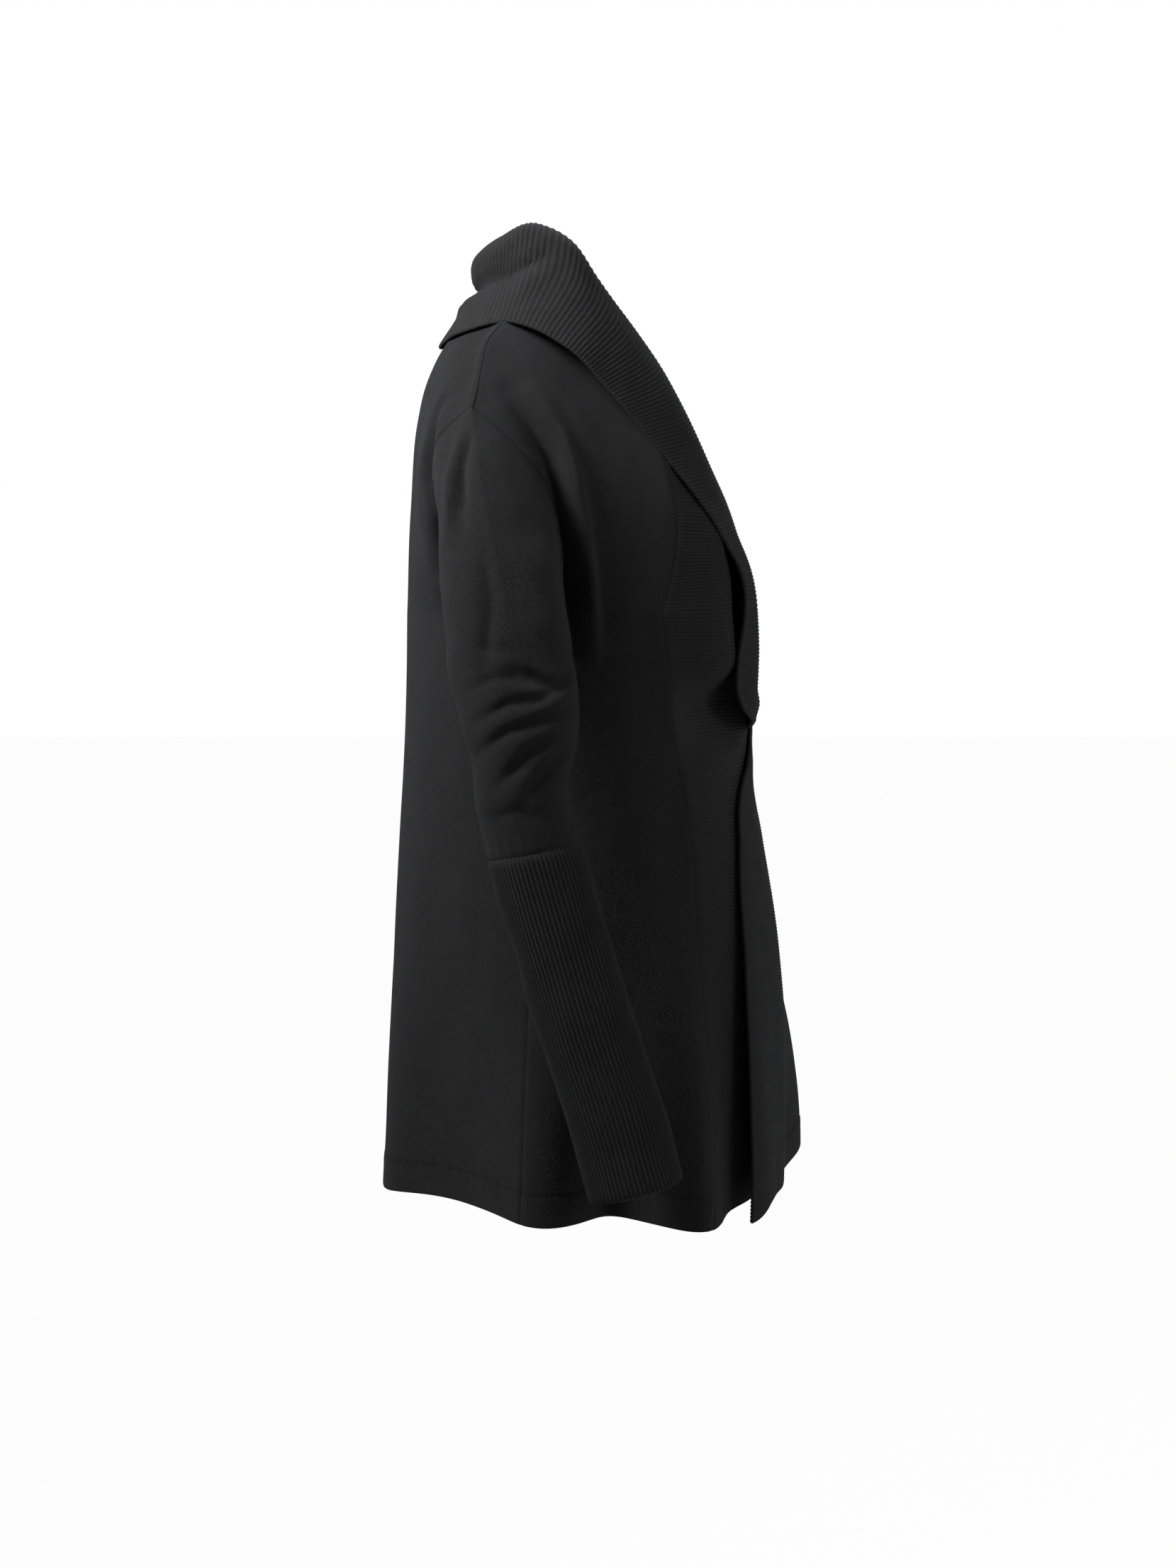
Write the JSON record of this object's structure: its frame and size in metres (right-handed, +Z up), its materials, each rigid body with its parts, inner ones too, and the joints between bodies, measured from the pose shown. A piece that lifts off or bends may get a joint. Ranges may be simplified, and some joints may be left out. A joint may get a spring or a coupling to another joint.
{
  "type": "longline cardigan",
  "caption": "Longline knitted cardigan, worn and wrapped left over right, with a ribbed shawl collar and front band turned over at the neck and long ribbed cuffs.",
  "frame": {"origin": "middle of the wearer's neck base, level with the inner ends of the shoulder seams", "axes": "+Z up along the wearer, -Y the way the wearer faces, -X the wearer's right"},
  "size_m": [0.6182, 0.3676, 0.8242],
  "materials": {
    "back": "matte jersey knit",
    "right_front": "matte jersey knit",
    "left_front": "matte jersey knit",
    "right_sleeve": "matte jersey knit",
    "left_sleeve": "matte jersey knit",
    "right_cuff": "matte rib knit",
    "left_cuff": "matte rib knit",
    "right_collar_band": "matte rib knit",
    "left_collar_band": "matte rib knit"
  },
  "bodies": {
    "root": {"back": "back", "right_front": "right_front", "left_front": "left_front", "right_sleeve": "right_sleeve", "left_sleeve": "left_sleeve", "right_cuff": "right_cuff", "left_cuff": "left_cuff", "right_collar_band": "right_collar_band", "left_collar_band": "left_collar_band"}
  },
  "joints": []
}
